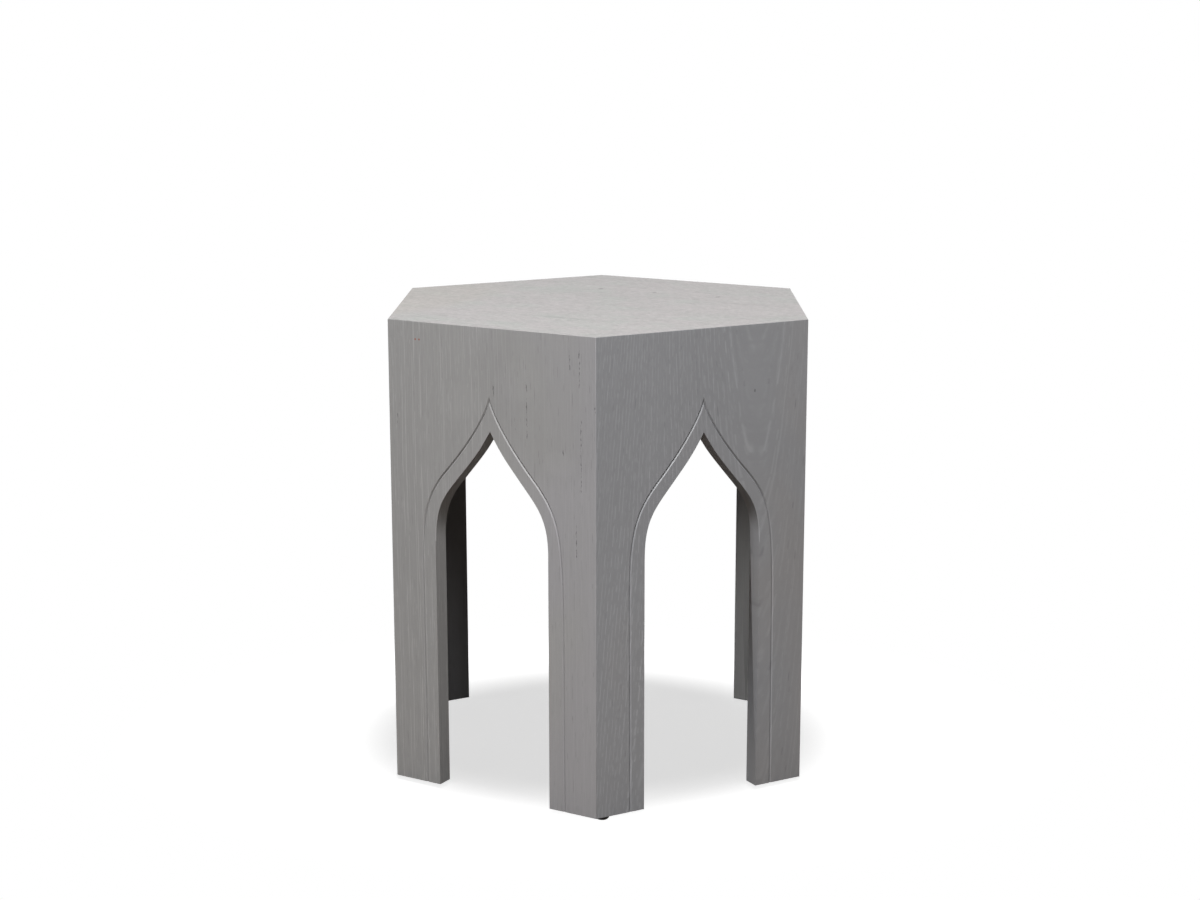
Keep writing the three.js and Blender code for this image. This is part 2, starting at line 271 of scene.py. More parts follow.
def side_board(name, turn, hole_ends, materials):
    bm, eased = side_board_blank()
    bmesh.ops.translate(bm, verts=bm.verts[:], vec=(0, -apothem, 0))
    slice_off(bm, (0, 0, top_z - apothem), (0, 1, 1))
    leans = [math.radians(degrees) for degrees in (22.5, 45)]
    round_off(
        bm, Vector((0, arris_round - apothem, top_z - arris_round)),
        [Vector((0, -math.cos(lean), math.sin(lean))) for lean in leans], eased,
    )
    leans = [math.radians(degrees) for degrees in (15, 30)]
    across = half_side - arris_round * math.tan(half_sixth)
    for end in (-1, 1):
        slice_off(bm, (0, 0, 0), (end * math.cos(half_sixth), math.sin(half_sixth), 0))
        round_off(
            bm, Vector((end * across, arris_round - apothem, 0)),
            [Vector((end * math.sin(lean), -math.cos(lean), 0)) for lean in leans], eased,
        )
    groove = bm.faces.layers.int["groove"]
    # painted light and shade on the board's cut edges, partly the darker end grain, kept on each
    # face for the coat to read
    edge_grain_and_painted_light = bm.faces.layers.float.new("edge_grain_and_painted_light")
    for face in bm.faces:
        face.material_index = 1 if face.normal.y > 0.99 else 0
        middle = face.calc_center_median()
        end_grain = abs(face.normal.z)
        if middle.z >= arch_peak.y + mm:
            continue
        if not face[groove] and abs(face.normal.y) < 0.7:
            face[edge_grain_and_painted_light] = end_grain * end_grain_and_painted_shade + (1 - end_grain) * reveal_painted_light
        if face[eased] and abs(middle.x) < arch_half_width + arch_easing:
            face[edge_grain_and_painted_light] = (1 - end_grain) * arris_painted_highlight
    set_shading(bm, eased)
    piece = finished_object(name, bm, materials)
    for end in hole_ends:
        drill = bmesh.new()
        place = Matrix.Translation(
            (end * (half_side - hole_from_corner), board / 2 - apothem, foot_z + hole_depth / 2)
        )
        bmesh.ops.create_cone(
            drill, cap_ends=True, segments=hole_segments, radius1=hole_radius,
            radius2=hole_radius, depth=hole_depth, matrix=place @ Matrix.Translation((0, 0, -mm)),
        )
        cutter = finished_object(name + "_drill", drill, materials)
        hole = piece.modifiers.new("hole", "BOOLEAN")
        hole.operation = "DIFFERENCE"
        hole.solver = "EXACT"
        hole.object = cutter
        drilled = bpy.data.meshes.new_from_object(
            piece.evaluated_get(bpy.context.evaluated_depsgraph_get())
        )
        piece.modifiers.clear()
        piece.data = drilled
        bpy.data.objects.remove(cutter)
    piece.data.transform(Matrix.Rotation(turn, 4, "Z"))
    return piece


def wire(tree, source, socket):
    """Feeds a socket from another one, or sets its value"""
    if isinstance(source, bpy.types.NodeSocket):
        tree.links.new(source, socket)
    else:
        socket.default_value = source


def calc(tree, operation, *terms, clamp=False):
    node = tree.nodes.new("ShaderNodeMath")
    node.operation = operation
    node.use_clamp = clamp
    for term, socket in zip(terms, node.inputs):
        wire(tree, term, socket)
    return node.outputs[0]


def ramp(tree, value, low, high, low_result=0.0, high_result=1.0):
    """Smooth step from one level to another"""
    node = tree.nodes.new("ShaderNodeMapRange")
    node.interpolation_type = "SMOOTHSTEP"
    wire(tree, value, node.inputs["Value"])
    levels = {"From Min": low, "From Max": high, "To Min": low_result, "To Max": high_result}
    for name, level in levels.items():
        node.inputs[name].default_value = level
    return node.outputs[0]


def joined(tree, x, y, z=0.0):
    node = tree.nodes.new("ShaderNodeCombineXYZ")
    for part, socket in zip((x, y, z), node.inputs):
        wire(tree, part, socket)
    return node.outputs[0]


def split(tree, vector):
    node = tree.nodes.new("ShaderNodeSeparateXYZ")
    tree.links.new(vector, node.inputs[0])
    return node.outputs


def cloud(tree, x, y, seed, detail=2.0, rough=0.5):
    """Soft noise about 0.5, one cell to each unit of x and y"""
    node = tree.nodes.new("ShaderNodeTexNoise")
    tree.links.new(joined(tree, x, y, seed), node.inputs["Vector"])
    node.inputs["Scale"].default_value = 1.0
    node.inputs["Detail"].default_value = detail
    node.inputs["Roughness"].default_value = rough
    return node.outputs["Fac"]


def scaled(tree, value, size, shift=0.0):
    return calc(tree, "MULTIPLY_ADD", value, 1 / size, shift)


def pores(tree, ring, along, seed, cell, half_size, share):
    """Short open pores that lie along the rings: 1 in the middle of a pore"""
    spot = joined(tree, scaled(tree, ring, cell[0], seed), scaled(tree, along, cell[1]))
    node = tree.nodes.new("ShaderNodeTexVoronoi")
    node.voronoi_dimensions = "2D"
    tree.links.new(spot, node.inputs["Vector"])
    node.inputs["Scale"].default_value = 1.0
    away = tree.nodes.new("ShaderNodeVectorMath")
    away.operation = "SUBTRACT"
    tree.links.new(spot, away.inputs[0])
    tree.links.new(node.outputs["Position"], away.inputs[1])
    away_across, away_along, _ = split(tree, away.outputs[0])
    kept, strength, length = split(tree, node.outputs["Color"])
    reach = calc(
        tree, "MULTIPLY_ADD", length, half_size[1] / cell[1], 0.4 * half_size[1] / cell[1])
    side = calc(tree, "DIVIDE", away_across, half_size[0] / cell[0])
    side = calc(tree, "SUBTRACT", 1.0, calc(tree, "ABSOLUTE", side), clamp=True)
    end = calc(tree, "DIVIDE", away_along, reach)
    end = calc(tree, "POWER", calc(tree, "ABSOLUTE", end), 3.0)
    end = calc(tree, "SUBTRACT", 1.0, end, clamp=True)
    shown = calc(tree, "LESS_THAN", kept, share)
    body = calc(tree, "MULTIPLY", calc(tree, "MULTIPLY", side, end), shown)
    return calc(tree, "MULTIPLY", body, calc(tree, "MULTIPLY_ADD", strength, 0.7, 0.3))


def pore_rows(tree, ring, along, seed, spacing, half_width, run, share, evenness=0.0):
    """Rows of pores, one to a growth ring, broken along their length"""
    node = tree.nodes.new("ShaderNodeTexVoronoi")
    node.voronoi_dimensions = "1D"
    wire(tree, scaled(tree, ring, spacing, seed), node.inputs["W"])
    node.inputs["Scale"].default_value = 1.0
    node.inputs["Randomness"].default_value = 1.0 - evenness
    off = calc(tree, "MULTIPLY", node.outputs["Distance"], spacing / half_width)
    body = calc(tree, "SUBTRACT", 1.0, off, clamp=True)
    own, strength, _ = split(tree, node.outputs["Color"])
    breaks = cloud(tree, calc(tree, "MULTIPLY", own, 60.0), scaled(tree, along, run), seed, 1.0)
    body = calc(tree, "MULTIPLY", body, ramp(tree, breaks, 0.6 - 0.35 * share, 0.72 - 0.35 * share))
    return calc(tree, "MULTIPLY", body, calc(tree, "MULTIPLY_ADD", strength, 0.75, 0.25))


def check(tree, across, along, place, low, high):
    """A column of dark blots, where the grain has opened: 1 in the middle of a blot"""
    sway = cloud(tree, scaled(tree, along, check_sway_length, place), place, 1.0)
    swayed = calc(tree, "MULTIPLY_ADD", sway, check_sway, across)
    side = calc(tree, "ABSOLUTE", calc(tree, "SUBTRACT", swayed, place + check_sway / 2))
    breaks = cloud(
        tree, scaled(tree, along, check_blot[1], place), scaled(tree, across, check_blot[0]),
        place + 2.0)
    ragged = calc(tree, "MULTIPLY_ADD", breaks, -check_raggedness, side)
    body = ramp(tree, ragged, *check_edge)
    ends = calc(
        tree, "MULTIPLY", ramp(tree, along, low, low + check_taper),
        ramp(tree, along, high, high - check_taper))
    return calc(tree, "MULTIPLY", body, ends)


def fleck(tree, across, along, place, half_size):
    """One small mark: 1 at its middle"""
    x = calc(tree, "DIVIDE", calc(tree, "SUBTRACT", across, place[0]), half_size[0])
    y = calc(tree, "DIVIDE", calc(tree, "SUBTRACT", along, place[1]), half_size[1])
    reach = calc(tree, "ADD", calc(tree, "MULTIPLY", x, x), calc(tree, "MULTIPLY", y, y))
    return ramp(tree, reach, 1.0, 0.3)


def new_finish(name):
    material = bpy.data.materials.new(name)
    material.use_nodes = True
    tree = material.node_tree
    return material, tree, tree.nodes["Principled BSDF"]


def place_on_piece(tree, turn, scale=1000.0):
    """Object coordinates in millimetres, turned to lie along a board"""
    source = tree.nodes.new("ShaderNodeTexCoord")
    node = tree.nodes.new("ShaderNodeMapping")
    tree.links.new(source.outputs["Object"], node.inputs["Vector"])
    node.inputs["Rotation"].default_value = (0, 0, -turn)
    node.inputs["Scale"].default_value = (scale, scale, scale)
    return split(tree, node.outputs["Vector"])


def own_attribute(tree, name):
    node = tree.nodes.new("ShaderNodeAttribute")
    node.attribute_name = name
    return node.outputs["Fac"]


def blend(tree, share, first, second):
    """From one colour to another, each of them a socket or a plain colour"""
    node = tree.nodes.new("ShaderNodeMix")
    node.data_type = "RGBA"
    wire(tree, share, node.inputs["Factor"])
    for source, socket in ((first, node.inputs["A"]), (second, node.inputs["B"])):
        wire(tree, source if isinstance(source, bpy.types.NodeSocket) else (*source, 1), socket)
    return node.outputs["Result"]


def set_toned_colour(tree, shader, colour, tone):
    node = tree.nodes.new("ShaderNodeVectorMath")
    node.operation = "SCALE"
    tree.links.new(colour, node.inputs[0])
    wire(tree, tone, node.inputs["Scale"])
    tree.links.new(node.outputs[0], shader.inputs["Base Color"])


def set_relief(tree, shader, height, strength, distance):
    node = tree.nodes.new("ShaderNodeBump")
    node.inputs["Strength"].default_value = strength
    node.inputs["Distance"].default_value = distance
    wire(tree, height, node.inputs["Height"])
    tree.links.new(node.outputs["Normal"], shader.inputs["Normal"])


def total(tree, terms, start=1.0):
    """start plus each amount times its mask"""
    result = start
    for amount, mask in terms:
        result = calc(tree, "MULTIPLY_ADD", mask, amount, result)
    return result


lean_from_z = 400.0
rise_from_z = 457
fan_reach = (-20.0, -110.0)
wander_size = (110, 260)
waver_size = (14, 70)
band_length = 900
patch_size = (55, 130)
fibre_size = (1.1, 26)
side_wander = 60.0
light_pore_cell = (2.6, 13)
dark_pore_cell = (5, 19)
pore_half_size = (0.5, 5)
check_sway = 4.0
check_sway_length = 7
check_blot = (2.0, 5.0)
check_raggedness = 4.0
check_edge = (-1.4, -2.3)
check_taper = 3.0
check_darkness = 0.6
satin_roughness = 0.46
plain_roughness = 0.85


def grey_ash(name, axes, turn, figure, satin=True):
    """Satin grey lacquer over open-grained ash, with the figure of one board"""
    material, tree, shader = new_finish(name)
    parts = place_on_piece(tree, turn)
    across, through, along = (parts[axis] for axis in axes)
    seed = figure["seed"]
    slant = figure["slant"]
    across = calc(tree, "MULTIPLY_ADD", through, slant, calc(
        tree, "ADD", across, slant * apothem / mm * figure["outward"]))

    def noise(source, size, own_seed, detail=2.0, rough=0.5):
        return cloud(
            tree, scaled(tree, source, size[0]), scaled(tree, along, size[1]), seed + own_seed,
            detail, rough)

    def about_zero(value):
        return calc(tree, "SUBTRACT", value, 0.5)

    # growth rings: their distance from the heart of the tree, with a slow wander
    wander = noise(across, wander_size, 0.5)
    waver = noise(across, waver_size, 4.5, 1.0)
    off = calc(tree, "SUBTRACT", across, figure["heart_across"])
    lean = ramp(tree, across, *fan_reach, figure["lean"], figure["lean"] - figure["fan"])
    off = calc(tree, "MULTIPLY_ADD", calc(tree, "SUBTRACT", along, lean_from_z), lean, off)
    rise = figure["rise"]
    deep = calc(tree, "MULTIPLY_ADD", along, -rise, figure["heart_deep"] + rise_from_z * rise)
    ring = calc(tree, "SQRT", calc(
        tree, "ADD", calc(tree, "MULTIPLY", off, off), calc(tree, "MULTIPLY", deep, deep)))
    ring = calc(tree, "MULTIPLY_ADD", wander, figure["wander"], ring)
    ring = calc(tree, "MULTIPLY_ADD", waver, figure["waver"], ring)

    band = noise(ring, (figure["band"], band_length), 8.5, 1.0)
    patch = noise(across, patch_size, 12.5)
    haze = noise(across, figure["haze"], 16.5, 1.0)
    mottle = noise(across, figure["grit"], 20.5, 3.0, 0.7)
    fibre = noise(ring, fibre_size, 24.5, 1.0, 0.6)

    # the grain is open on one side of the board and closed on the other
    side = calc(
        tree, "MULTIPLY_ADD", patch, side_wander, calc(tree, "SUBTRACT", across, side_wander / 2))
    close_from, close_to, least = figure["close"]
    open_side = ramp(tree, side, close_from, close_to, 1.0, least)
    closed_side = calc(tree, "SUBTRACT", 1.0, open_side)
    dark_side = ramp(tree, side, close_from, close_to, figure["dark_least"], 1.0)

    # pores: light streaks along the rings, the grain's pores drawn lighter as a painted highlight
    # of their edges catching the light, and dark pores where they are still open
    light = [
        (amount, pore_rows(tree, ring, along, seed + 8 * i + 3, *row))
        for i, (amount, *row) in enumerate(figure["light_rows"])
    ]
    share, amount = figure["light_pores"]
    light.append((amount, pores(
        tree, ring, along, seed + 31, light_pore_cell, pore_half_size, share)))
    light_grain = calc(tree, "MULTIPLY", total(tree, light, 0.0), open_side)
    amount, *row = figure["far_rows"]
    far_grain = calc(tree, "MULTIPLY", pore_rows(tree, ring, along, seed + 47, *row), amount)
    light_grain = calc(tree, "MULTIPLY_ADD", far_grain, closed_side, light_grain)
    off_heart = ramp(tree, calc(tree, "ABSOLUTE", off), 1.0, 7.0, 0.15, 1.0)
    light_grain = calc(tree, "MULTIPLY", light_grain, off_heart)
    share, amount = figure["dark_pores"]
    dark = [(amount, pores(tree, ring, along, seed + 73, dark_pore_cell, pore_half_size, share))]
    amount, *row = figure["dark_rows"]
    dark.append((amount, pore_rows(tree, ring, along, seed + 23, *row)))
    dark_grain = calc(tree, "MULTIPLY", total(tree, dark, 0.0), dark_side)
    for place, low, high in figure["checks"]:
        opened = check(tree, across, along, place, low, high)
        opened = calc(tree, "MULTIPLY", opened, check_darkness)
        dark_grain = calc(tree, "MAXIMUM", dark_grain, opened)

    tone = total(tree, [
        (1.0, light_grain),
        (-1.0, dark_grain),
        (figure["band_tone"], about_zero(band)),
        (figure["patch_tone"], about_zero(patch)),
        (figure["mottle"], about_zero(mottle)),
        (figure["fibre"], about_zero(fibre)),
        (figure["close_lift"], closed_side),
    ])
    marks = total(tree, [
        (depth, fleck(tree, across, along, place, half_size))
        for place, half_size, depth in figure["flecks"]
    ], 0.0)
    tone = calc(tree, "MULTIPLY", tone, calc(tree, "SUBTRACT", 1.0, marks))
    groove_depth = own_attribute(tree, "groove_depth")
    edges = total(tree, [
        # painted light and shade on the arch's edges, partly end grain
        (1.0, own_attribute(tree, "edge_grain_and_painted_light")),
        # painted highlight inside the groove, painted shade towards its bottom
        (groove_painted_light, ramp(tree, groove_depth, 0.0, 0.3)),
        (-groove_painted_shade, ramp(tree, groove_depth, 0.7, 1.3)),
    ])
    tone = calc(tree, "MULTIPLY", tone, edges)

    haze = calc(tree, "MULTIPLY_ADD", across, figure["tint_lean"], haze)
    share = ramp(tree, haze, 0.6 - 0.5 * figure["cool"], 1.0 - 0.5 * figure["cool"])
    tinted = blend(tree, share, *figure["tints"])
    for place, half_size, shade, strength in figure["stains"]:
        mask = calc(tree, "MULTIPLY", fleck(tree, across, along, place, half_size), strength)
        tinted = blend(tree, mask, tinted, shade)
    set_toned_colour(tree, shader, tinted, calc(tree, "MULTIPLY", tone, figure["shade"]))

    open_grain = calc(tree, "ADD", light_grain, dark_grain, clamp=True)
    rough = total(
        tree, [(0.10, open_grain), (0.10, about_zero(mottle))],
        satin_roughness if satin else plain_roughness)
    tree.links.new(rough, shader.inputs["Roughness"])
    shader.inputs["Specular IOR Level"].default_value = 0.5 if satin else 0.1
    height = total(tree, [(-1.0, open_grain), (0.25, mottle)], 1.0)
    set_relief(tree, shader, height, 0.35, 0.15 * mm)
    return material


# the figure of each board: rows are (amount, spacing, half width, run, share, evenness), checks
# are (across, low, high), flecks are (place, half size, depth)
cathedral = dict(
    seed=3.0, heart_across=67, heart_deep=70, rise=0.06, lean=0.0, fan=0.12,
    wander=5, waver=1.6, band=9, band_tone=0.05, patch_tone=0.06, mottle=0.10, grit=(1.0, 1.6),
    fibre=0.10, haze=(90, 150), tints=((0.338, 0.332, 0.338), (0.330, 0.334, 0.350)),
    outward=1, slant=-0.8, cool=0.9, tint_lean=-0.0014,
    light_rows=[(0.42, 3.7, 0.55, 14, 0.55, 0.85), (0.26, 1.9, 0.4, 10, 0.3, 0.3)],
    light_pores=(0.5, 0.16), far_rows=(0.45, 9, 0.5, 34, 0.6, 0.3),
    dark_rows=(0.25, 16, 0.6, 12, 0.1, 0.0), dark_pores=(0.1, 0.3),
    close=(5, 60, 0.4), close_lift=0.0, dark_least=1.0, shade=0.945, checks=[],
    flecks=[
        ((64, 455.3), (1.4, 2.2), 0.4), ((-105, 100), (60, 260), -0.045),
        ((95, 480), (60, 90), -0.035),
    ],
    stains=[],
)
quarter_sawn = dict(
    seed=17.0, heart_across=-600, heart_deep=0, rise=0.0, lean=0.01, fan=0.0,
    wander=8, waver=1.2, band=14, band_tone=0.04, patch_tone=0.05, mottle=0.12, grit=(1.0, 1.6),
    fibre=0.14, haze=(90, 150), tints=((0.334, 0.331, 0.330), (0.336, 0.331, 0.342)),
    outward=1, slant=0.8, cool=0.2, tint_lean=0.003,
    light_rows=[(0.75, 6.1, 0.32, 60, 0.6, 0.1), (0.35, 2.7, 0.28, 30, 0.4, 0.0)],
    light_pores=(0.2, 0.3), far_rows=(0.3, 14, 0.4, 60, 0.6, 0.2),
    dark_rows=(0.35, 5.3, 0.5, 20, 0.15, 0.0), dark_pores=(0.12, 0.4),
    close=(-50, 60, 0.25), close_lift=0.14, dark_least=0.5, shade=1.01,
    checks=[
        (47, 412, 480), (100, 490, 510), (112, 472, 514), (114, 360, 440), (108, 290, 330),
        (92, 398, 408), (5, 452, 468), (33, 418, 424), (131, 444, 456), (-121, 412, 426),
    ],
    flecks=[
        ((38, 474), (34, 26), -0.035), ((-42, 446), (40, 24), -0.03),
        ((88, 390), (26, 16), -0.035), ((85, 480), (120, 130), 0.08),
    ],
    stains=[
        ((-95.6, 508.3), (1.3, 1.3), (0.34, 0.10, 0.06), 0.9),
        ((-90.6, 508.3), (1.3, 1.3), (0.34, 0.10, 0.06), 0.9),
    ],
)
plain_cathedral = dict(cathedral, flecks=[])
plain_quarter_sawn = dict(quarter_sawn, checks=[], flecks=[], stains=[])
side_figures = {
    "front_right": cathedral,
    "right": dict(plain_quarter_sawn, seed=29.0, lean=-0.02, close=(20, 120, 0.5)),
    "back_right": dict(plain_cathedral, seed=41.0, heart_across=-38, heart_deep=60, fan=0.03),
    "back_left": dict(
        plain_quarter_sawn, seed=53.0, lean=0.03, close=(-120, -20, 0.4),
        checks=[(-60, 380, 430), (84, 60, 130)],
    ),
    "left": dict(plain_cathedral, seed=67.0, heart_across=12, heart_deep=50, fan=0.0),
    "front_left": quarter_sawn,
}
# the inside faces: a matt coat whose tone is darkened to 0.85 as painted shade
inner_figure = dict(
    plain_quarter_sawn, seed=5.0, shade=0.85, cool=0.1, far_rows=(0.0, 14, 0.5, 60, 0.6, 0.2),
    light_rows=[(0.1, 5.3, 0.5, 55, 0.8, 0.3)], light_pores=(0.2, 0.1),
    dark_rows=(0.2, 11, 0.6, 15, 0.2, 0.0), dark_pores=(0.2, 0.2),
)
# deeper painted shade on the back left board's inside
inner_painted_shades = {"back_left": 0.6}

for i, name in enumerate(face_names):
    turn = (i + 0.5) * sixth_turn
    hole_ends = []
    if leveller_hands[i] == 1:
        hole_ends.append(-1)
    if leveller_hands[(i + 1) % 6] == -1:
        hole_ends.append(1)
    outer_coat = grey_ash(f"grey_lacquer_{name}", (0, 1, 2), turn, side_figures[name])
    own_inner = dict(inner_figure, shade=inner_painted_shades.get(name, inner_figure["shade"]))
    inner_coat_and_painted_shade = grey_ash(f"inner_coat_and_painted_shade_{name}", (0, 1, 2), turn, own_inner, satin=False)
    side = side_board(f"side_board_{name}", turn, hole_ends, [outer_coat, inner_coat_and_painted_shade])
    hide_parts(f"side_{name}")
    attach(side, "root")

# Top board: one 19 mm hexagon of the same ash, mitred under at 45 degrees all round and glued
# to the sides so that no end grain shows. Its grain runs along the front left edge.
top_figure = dict(
    seed=83.0, heart_across=-462, heart_deep=60, rise=0.05, lean=0.0, fan=0.0,
    wander=26, waver=2.0, band=16, band_tone=0.12, patch_tone=0.06, mottle=1.15, grit=(2.8, 6.0),
    fibre=0.3, haze=(30, 44), tints=((0.350, 0.331, 0.329), (0.332, 0.335, 0.322)),
    outward=-top_z / apothem, slant=0.8, cool=0.45, tint_lean=0.0,
    light_rows=[(0.10, 8, 0.7, 10, 0.4, 0.0)], light_pores=(0.4, 0.08),
    dark_rows=(0.34, 7.5, 1.1, 14, 0.3, 0.1), dark_pores=(0.5, 0.3),
    far_rows=(0.0, 14, 0.5, 60, 0.6, 0.2),
    close=(400, 500, 1.0), close_lift=0.0, dark_least=1.0, shade=1.0, checks=[],
    flecks=[
        ((108.3, -62.5), (5, 3), 0.55), ((109.1, 10.9), (5, 3), 0.45), ((114, 93.5), (5, 3), 0.55),
        ((-125, 22), (3.5, 42), 0.18), ((73, 149), (3.5, 40), 0.2), ((-176, -95), (4, 8), 0.2),
        ((54, -10), (24, 70), 0.03), ((126, 20), (9, 170), -0.04),
    ],
    stains=[((-90, -215), (210, 100), (0.350, 0.328, 0.302), 0.55)],
)
top_bm = bmesh.new()
top_eased = top_bm.faces.layers.int.new("eased")
bmesh.ops.create_circle(top_bm, cap_ends=True, radius=corner_radius, segments=6)
bmesh.ops.translate(top_bm, verts=top_bm.verts[:], vec=(0, 0, top_z - board))
raised = bmesh.ops.extrude_face_region(top_bm, geom=top_bm.faces[:])["geom"]
raised_verts = [part for part in raised if isinstance(part, bmesh.types.BMVert)]
bmesh.ops.translate(top_bm, verts=raised_verts, vec=(0, 0, board))
bmesh.ops.recalc_face_normals(top_bm, faces=top_bm.faces[:])
for i in range(6):
    outward = Matrix.Rotation((i + 0.5) * sixth_turn, 3, "Z") @ Vector((0, -1, 0))
    slice_off(top_bm, outward * apothem + Vector((0, 0, top_z)), outward - Vector((0, 0, 1)))
    centre = outward * (apothem - arris_round) + Vector((0, 0, top_z - arris_round))
    leans = [math.radians(degrees) for degrees in (45, 67.5)]
    ways = [outward * math.cos(lean) + Vector((0, 0, math.sin(lean))) for lean in leans]
    round_off(top_bm, centre, ways, top_eased)
for face in top_bm.faces:
    face.material_index = 1 if face.normal.z < -0.99 else 0
set_shading(top_bm, top_eased)
grain_turn = -half_sixth
top_coat = grey_ash("grey_lacquer_top", (1, 2, 0), grain_turn, top_figure)
# the top's underside takes the inside faces' matt coat and its painted shade
under_figure = dict(inner_figure, outward=0)
under_coat_and_painted_shade = grey_ash("inner_coat_and_painted_shade_top", (1, 2, 0), grain_turn, under_figure, satin=False)
top = finished_object("top_board", top_bm, [top_coat, under_coat_and_painted_shade])
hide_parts("top_panel")
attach(top, "root")

# Tongues and glue blocks: bare beech. Loose tongues are glued into slots in every mitre, and
# a three-cornered block is rubbed into each corner under the top.


def bare_beech(name, turn, axes=(0, 1, 2)):
    """Planed beech: warm tan, with short dark pore flecks along the grain"""
    material, tree, shader = new_finish(name)
    parts = place_on_piece(tree, turn)
    across = calc(tree, "ADD", parts[axes[0]], parts[axes[1]])
    along = parts[axes[2]]
    grain = cloud(tree, scaled(tree, across, 3), scaled(tree, along, 60), 2.0)
    flecks = pores(tree, across, along, 7.0, (1.4, 4), (0.3, 1.6), 0.7)
    tint = blend(tree, ramp(tree, grain, 0.3, 0.7), (0.60, 0.41, 0.22), (0.68, 0.49, 0.29))
    set_toned_colour(tree, shader, tint, total(tree, [(-0.35, flecks)]))
    wire(tree, total(tree, [(0.15, grain)], 0.58), shader.inputs["Roughness"])
    set_relief(tree, shader, total(tree, [(-1.0, flecks), (0.4, grain)], 1.0), 0.3, 0.1 * mm)
    return material


block_leg = 45 * mm
block_height = 30 * mm
block_easing = 0.8 * mm
glue_line = 0.3 * mm
block_top_z = top_z - board - glue_line
inner_corner_y = glue_line / math.cos(half_sixth) - (apothem - board) / math.cos(half_sixth)
upright_beech = bare_beech("bare_beech_upright", 0)

for i, name in enumerate(corner_names):
    block_bm = bmesh.new()
    leg_x = block_leg * math.cos(half_sixth)
    leg_y = inner_corner_y + block_leg * math.sin(half_sixth)
    outline = [
        block_bm.verts.new((x, y, block_top_z - block_height))
        for x, y in ((0, inner_corner_y), (leg_x, leg_y), (-leg_x, leg_y))
    ]
    end_grain = block_bm.faces.new(outline)
    raised = bmesh.ops.extrude_face_region(block_bm, geom=[end_grain])["geom"]
    raised_verts = [part for part in raised if isinstance(part, bmesh.types.BMVert)]
    bmesh.ops.translate(block_bm, verts=raised_verts, vec=(0, 0, block_height))
    bmesh.ops.recalc_face_normals(block_bm, faces=block_bm.faces[:])
    block_eased = block_bm.faces.layers.int.new("eased")
    ease(block_bm, block_bm.edges[:], block_easing, arris_segments, block_eased)
    set_shading(block_bm, block_eased)
    bmesh.ops.rotate(
        block_bm, verts=block_bm.verts[:], matrix=Matrix.Rotation(i * sixth_turn, 3, "Z"))
    block = finished_object(f"corner_block_{name}", block_bm, [upright_beech])
    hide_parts(f"glue_block_{name}")
    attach(block, "root")
    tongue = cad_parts[f"corner_spline_{name}"]
    for slot in tongue.material_slots:
        slot.material = upright_beech

for i, name in enumerate(face_names):
    lying_beech = bare_beech(f"bare_beech_{name}", (i + 0.5) * sixth_turn, (1, 2, 0))
    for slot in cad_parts[f"top_spline_{name}"].material_slots:
        slot.material = lying_beech

# Levellers: at each leg a zinc-plated insert in the foot, an M6 stud with a rolled thread
# screwed into it, and a moulded nylon pad that swivels on the stud's end.
pitch = 1.0 * mm
thread_crest = 3.0 * mm
thread_root = 2.5 * mm
bore_radius = 3.12 * mm
smooth_turned_angle = math.radians(35)
smooth_thread_angle = math.radians(25)
thread_steps = 20
insert_steps = 40
pad_steps = 48


def turned(name, profile, steps, material, place, closed=True):
    """A round piece, turned from (radius, height) points"""
    bm = bmesh.new()
    verts = [bm.verts.new((radius, 0, height)) for radius, height in profile]
    edges = [bm.edges.new(pair) for pair in zip(verts, verts[1:])]
    if closed:
        edges.append(bm.edges.new((verts[-1], verts[0])))
    bmesh.ops.spin(
        bm, geom=verts + edges, cent=(0, 0, 0), axis=(0, 0, 1), angle=math.tau,
        steps=steps, use_merge=True, use_duplicate=False, dvec=(0, 0, 0),
    )
    bmesh.ops.remove_doubles(bm, verts=bm.verts[:], dist=weld_distance)
    bmesh.ops.recalc_face_normals(bm, faces=bm.faces[:])
    for face in bm.faces:
        face.smooth = True
    for edge in bm.edges:
        edge.smooth = edge.calc_face_angle(0) < smooth_turned_angle
    bmesh.ops.translate(bm, verts=bm.verts[:], vec=place)
    return finished_object(name, bm, [material])


def threaded_stud(name, low, high, material, place):
    """One turn of thread profile wound up the stud, cut square at both ends"""
    bm = bmesh.new()
    profile = [
        (thread_root, 0), (thread_root, 0.13 * pitch), (thread_crest, 0.43 * pitch),
        (thread_crest, 0.57 * pitch), (thread_root, 0.87 * pitch), (thread_root, pitch),
    ]
    verts = [bm.verts.new((radius, 0, low - pitch + height)) for radius, height in profile]
    edges = [bm.edges.new(pair) for pair in zip(verts, verts[1:])]
    turns = math.ceil((high - low) / pitch) + 2
    steps = thread_steps * turns
    bmesh.ops.spin(
        bm, geom=verts + edges, cent=(0, 0, 0), axis=(0, 0, 1), angle=math.tau * turns,
        steps=steps, use_merge=False, use_duplicate=False, dvec=(0, 0, pitch * turns / steps),
    )
    bmesh.ops.remove_doubles(bm, verts=bm.verts[:], dist=weld_distance)
    bmesh.ops.recalc_face_normals(bm, faces=bm.faces[:])
    for face in bm.faces:
        face.smooth = True
    for point, normal in (((0, 0, high), (0, 0, 1)), ((0, 0, low), (0, 0, -1))):
        for face in slice_off(bm, point, normal):
            face.smooth = False
    for edge in bm.edges:
        edge.smooth = edge.calc_face_angle(0) < smooth_thread_angle
    bmesh.ops.translate(bm, verts=bm.verts[:], vec=place)
    return finished_object(name, bm, [material])


